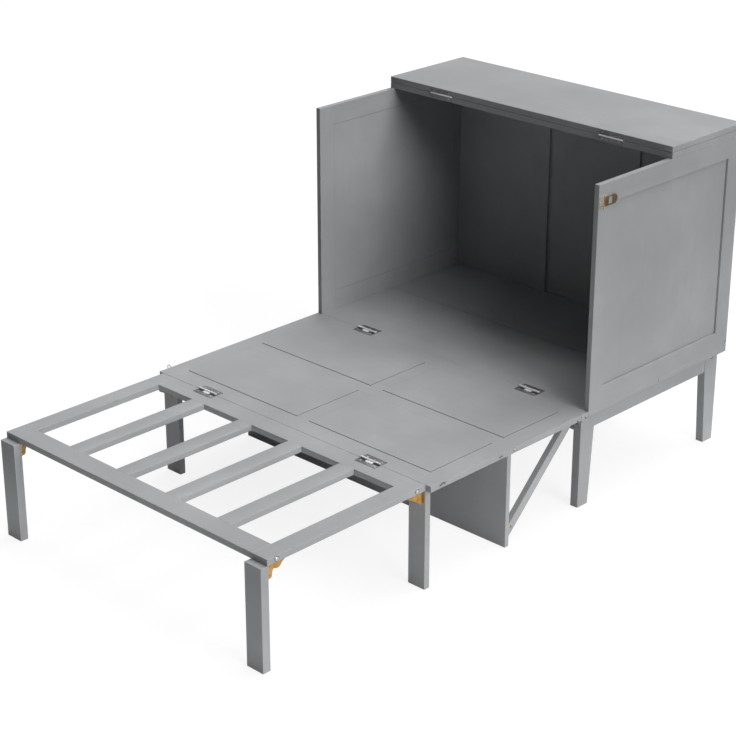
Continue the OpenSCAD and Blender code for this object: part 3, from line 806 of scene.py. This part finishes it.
def bracketPlates():
    whole = bmesh.new()
    k = brackets
    for which in ("foot", "mid"):
        b = k[which]
        y, z = b["pivot"]
        near, far, high = b["near"], b["near"] - k["long"], b["up"]
        lockU, lockDown, *lockRing = k["lockHole"]
        farU, farDown, *farRing = k["farHole"]
        outline = [(near, high), (far, high)] + flowing(b["edge"])
        holes = [ring(0, 0, *k["pivotHole"]), ring(lockU, high - lockDown, *lockRing),
                 ring(far + farU, high - farDown, *farRing)]
        half, cutX, cutU = k["width"] / 2, k["cornerX"], k["cornerU"]
        corners = [(half - cutX, far), (half, far + cutU), (half, near),
                   (-half, near), (-half, far + cutU), (-half + cutX, far)]
        screwHoles = [ring(dx, u, *k["screwHole"]) for dx, u in screwSpots(b)]
        for side in (-1, 1):
            for cheek in (-1, 1):
                spot = at(side * k["legX"] + cheek * k["cheekX"], y, z)
                addMoved(whole, flatPlate(outline, holes, k["thick"], k["ease"]),
                         Matrix.Translation(spot) @ upright(b["toLeg"]))
            spot = at(side * k["legX"], y, z + high - k["thick"] / 2)
            addMoved(whole, flatPlate(corners, screwHoles, k["thick"], k["ease"]),
                     Matrix.Translation(spot) @ Matrix.Diagonal((1, b["toLeg"], 1, 1)))
    cutWide(whole)
    piece = finishMesh(whole, "bracket_plates", [finishes["brass"]], "foot_frame", smooth=k["smooth"])
    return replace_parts(piece, "leg_channels")


bracketPlates()
bracketScrews = []
for which in ("foot", "mid"):
    b = brackets[which]
    y, z = b["pivot"]
    for side in (-1, 1):
        bracketScrews += [(at(side * brackets["legX"] + dx, y + b["toLeg"] * u, z + b["up"] - brackets["thick"]), down)
                          for dx, u in screwSpots(b)]
headsOn("bracket_screws", bracketScrews, "hingeScrew", "zinc", "foot_frame")
print("brackets made")


# latch plates with their knuckles

latch = {
    "fromY": 2, "toY": 35, "z": 950, "halfHigh": 20,
    "thick": 2, "ease": 0.5, "smooth": 35,
    "round": (9, 3, 3, 9),  # radius of each corner, the first at the foot end below
    "pinY": 22, "axisX": 558.4,
    "sides": 24,
    "barrels": ((17.2, 2.8, 5.6), (-17.2, 2.8, 5.6), (0, 1.2, 40.8)),  # z from the middle, radius, length
}


def roundedBox(low, high, radii, count=6):
    (u0, v0), (u1, v1) = low, high
    corners = [(u0, v0, 180, radii[0]), (u1, v0, 270, radii[1]), (u1, v1, 0, radii[2]), (u0, v1, 90, radii[3])]
    line = []
    for u, v, start, radius in corners:
        cu, cv = u + radius * (1 if u == u0 else -1), v + radius * (1 if v == v0 else -1)
        for i in range(count + 1):
            a = math.radians(start + 90 * i / count)
            line.append((cu + radius * math.cos(a), cv + radius * math.sin(a)))
    return line


def latchPlates():
    whole = bmesh.new()
    k = latch
    outline = roundedBox((k["fromY"], -k["halfHigh"]), (k["toY"], k["halfHigh"]), k["round"])
    for side in (-1, 1):
        spot = at(side * (plan["half"] + k["thick"] / 2), 0, k["z"])
        addMoved(whole, flatPlate(outline, [], k["thick"], k["ease"]), Matrix.Translation(spot) @ upright(1))
        for z, radius, tall in k["barrels"]:
            spot = at(side * k["axisX"], k["pinY"], k["z"] + z)
            bmesh.ops.create_cone(whole, cap_ends=True, segments=k["sides"], radius1=radius * mm, radius2=radius * mm,
                                  depth=tall * mm, matrix=Matrix.Translation(spot))
    cutWide(whole)
    brass = [finishes["paleBrass"]]
    piece = finishMesh(whole, "latch_plate_pieces", brass, "cabinet", smooth=k["smooth"])
    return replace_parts(piece, "latch_plates")


latchPlates()

# small wire catch on each side edge of the front panel

wireCatch = {
    "x": 554.5, "y": -388, "z": 311,
    "out": 6.5, "wide": 9, "wire": 1.1, "smooth": 40,
    # x as a share of out, y as a share of wide, z in mm
    "bends": [(0, -0.5, -1), (0.6, -0.5, 1), (1, -0.25, 4), (1, 0.25, 4), (0.6, 0.5, 1), (0, 0.5, -1)],
}


def wireCatches():
    w = wireCatch
    curve = bpy.data.curves.new("wireCatch", "CURVE")
    curve.dimensions = "3D"
    curve.bevel_depth = w["wire"] * mm
    curve.bevel_resolution = 3
    curve.use_fill_caps = True
    points = flowing([(w["out"] * x, w["wide"] * y, z) for x, y, z in w["bends"]])
    for side in (-1, 1):
        addLine(curve, [at(side * (w["x"] + x), w["y"] + y, w["z"] + z) for x, y, z in points], closed=False)
    bm = bmesh.new()
    bm.from_mesh(bakedMesh(added("wireCatch", curve)))
    steel = [finishes["darkSteel"]]
    return finishMesh(bm, "panel_wire_catches", steel, "front_panel", smooth=w["smooth"])


wireCatches()
print("latches made")


# slats: a nodes tree that makes a row of eased bars

slatRow = {
    "count": 4, "pitch": 203.4, "first": -305.1,  # x of the first slat
    "width": 54, "thick": 18, "ease": 1.4, "easeSteps": 3,
    "fromY": -1183, "length": 446.5, "z": 311,
}


def slatTree():
    inputs = [("Carrier", "Geometry"), ("Count", "Int"), ("Start", "Vector"), ("Step", "Vector"), ("Along", "Vector"),
              ("Width", "Float"), ("Thick", "Float"), ("Ease", "Float"), ("Finish", "Material")]
    tree, sockets = newTree("slatRow", inputs, "Slats")
    make = tree.nodes.new
    given, result = make("NodeGroupInput"), make("NodeGroupOutput")
    line, bar = make("GeometryNodeMeshLine"), make("GeometryNodeCurvePrimitiveLine")
    section, eased = make("GeometryNodeCurvePrimitiveQuadrilateral"), make("GeometryNodeFilletCurve")
    sweep, copies = make("GeometryNodeCurveToMesh"), make("GeometryNodeInstanceOnPoints")
    real, paint = make("GeometryNodeRealizeInstances"), make("GeometryNodeSetMaterial")
    eased.mode = "POLY"
    eased.inputs["Count"].default_value = slatRow["easeSteps"]
    sweep.inputs["Fill Caps"].default_value = True
    joinNodes(tree, [
        (given, "Count", line, "Count"),
        (given, "Start", line, "Start Location"),
        (given, "Step", line, "Offset"),
        (given, "Along", bar, "End"),
        (given, "Width", section, "Width"),
        (given, "Thick", section, "Height"),
        (section, "Curve", eased, "Curve"),
        (given, "Ease", eased, "Radius"),
        (bar, "Curve", sweep, "Curve"),
        (eased, "Curve", sweep, "Profile Curve"),
        (line, "Mesh", copies, "Points"),
        (sweep, "Mesh", copies, "Instance"),
        (copies, "Instances", real, "Geometry"),
        (real, "Geometry", paint, "Geometry"),
        (given, "Finish", paint, "Material"),
        (paint, "Geometry", result, "Slats"),
    ])
    return tree, sockets


slatNodes, slatSockets = slatTree()
slatValues = {
    "Count": slatRow["count"],
    "Start": at(slatRow["first"], slatRow["fromY"], slatRow["z"]),
    "Step": (slatRow["pitch"] * mm, 0, 0),
    "Along": (0, slatRow["length"] * mm, 0),
    "Width": slatRow["width"] * mm,
    "Thick": slatRow["thick"] * mm,
    "Ease": slatRow["ease"] * mm,
    "Finish": paints[1],
}
slatHolder = added("slatHolder", bpy.data.meshes.new("slatHolder"))
slats = baked("slat_row", slatHolder, slatNodes, slatSockets, slatValues, "foot_frame")
spots = [v.co for v in slats.data.vertices]
slatSpan = [[round(f(p[i] for p in spots) / mm, 1) for f in (min, max)] for i in range(3)]
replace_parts(slats, "slats")
for head in heads.values():
    bpy.data.objects.remove(head)
print("slats made")


# floor, light and camera

stage = {
    "sky": 0.01,  # what the pieces get from the world
    "gloss": 0.5,  # the bright walls of the studio, which only reflections see
    "suns": [  # azimuth and elevation that the light comes from, and its angular size, in degrees
        {"name": "sideLight", "azimuth": 85, "elevation": 30, "soft": 34, "strength": 1.8},
        {"name": "highSide", "azimuth": 100, "elevation": 60, "soft": 50, "strength": 0.3},
        {"name": "backLight", "azimuth": 178, "elevation": 65, "soft": 50, "strength": 1.72},
        {"name": "topLight", "azimuth": 160, "elevation": 74, "soft": 40, "strength": 0.3},
    ],
    "sunAway": 6,
    "floorSize": 80,
    "floorZ": -0.0005,
    "floorGlow": 0.85,  # for the camera only, keeps the pale floor even under the soft shadows
    "floorColour": 0.2,  # as the camera sees it
    "floorRoughness": 0.95,
    "floorSpecular": 0.1,
    "floorBounce": (0.88, 0.04),  # colour for other rays, near the bed and far from it
    "bounceFade": (1, 1.4),  # the near colour ends and the far one starts, as shares of the ellipse below
    "bounceHalf": (1.5, 1.4),  # half the axes of the ellipse around the bed, in metres
    "bounceCentre": (0.65, -0.5),
}


def softSun(spec):
    data = bpy.data.lights.new(spec["name"], "SUN")
    data.angle = math.radians(spec["soft"])
    data.energy = spec["strength"]
    light = added(spec["name"], data)
    a, e = math.radians(spec["azimuth"]), math.radians(spec["elevation"])
    back = Vector((math.sin(a) * math.cos(e), -math.cos(a) * math.cos(e), math.sin(e)))
    light.rotation_euler = back.to_track_quat("Z", "Y").to_euler()
    light.location = back * stage["sunAway"]


def paleFloor():
    look = stage
    mat, tree, shader = newMaterial("paleFloor")
    shader.inputs["Roughness"].default_value = look["floorRoughness"]
    shader.inputs["Specular IOR Level"].default_value = look["floorSpecular"]
    path = tree.nodes.new("ShaderNodeLightPath")
    spread = tree.nodes.new("ShaderNodeVectorMath")
    spread.operation = "LENGTH"
    half, centre = look["bounceHalf"], look["bounceCentre"]
    ellipse = place(tree, (1 / half[0], 1 / half[1], 1), (-centre[0] / half[0], -centre[1] / half[1], 0))
    tree.links.new(ellipse, spread.inputs[0])
    bounce = span(tree, spread.outputs["Value"], *look["bounceFade"], *look["floorBounce"])
    seen = mixColour(tree, path.outputs["Is Camera Ray"], bounce, (look["floorColour"],) * 3)
    tree.links.new(seen, shader.inputs["Base Color"])
    glow = mixColour(tree, path.outputs["Is Camera Ray"], (0, 0, 0), (1, 1, 1))
    tree.links.new(glow, shader.inputs["Emission Color"])
    shader.inputs["Emission Strength"].default_value = look["floorGlow"]
    return mat


bpy.ops.mesh.primitive_plane_add(size=stage["floorSize"], location=(0, 0, stage["floorZ"]))
studioFloor = bpy.context.object
studioFloor.name = "studioFloor"
studioFloor.data.materials.append(paleFloor())

world = bpy.data.worlds.new("studioWorld")
world.use_nodes = True
air = world.node_tree
background = air.nodes["Background"]
background.inputs["Color"].default_value = (1, 1, 1, 1)
rays = air.nodes.new("ShaderNodeLightPath")
unseen = span(air, rays.outputs["Is Glossy Ray"], 0, 1, stage["sky"], stage["gloss"])
strength = mixColour(air, rays.outputs["Is Camera Ray"], unseen, (1, 1, 1))
air.links.new(strength, background.inputs["Strength"])
bpy.context.scene.world = world
for spec in stage["suns"]:
    softSun(spec)
bpy.context.scene.view_settings.view_transform = "Standard"

view = {
    "place": (3.709, -3.856, 2.682), "azimuth": 44.23, "elevation": 23.27,
    "focalPixels": 1976, "photoPixels": 736,
    "sensor": 36,
    "clipEnd": 200,
}
cameraData = bpy.data.cameras.new("photoCamera")
cameraData.sensor_width = view["sensor"]
cameraData.lens = view["focalPixels"] / view["photoPixels"] * view["sensor"]
cameraData.clip_end = view["clipEnd"]
camera = added("photoCamera", cameraData)
camera.location = view["place"]
camera.rotation_euler = (math.radians(90 - view["elevation"]), 0, math.radians(view["azimuth"]))
bpy.context.scene.camera = camera

print("scene ready")
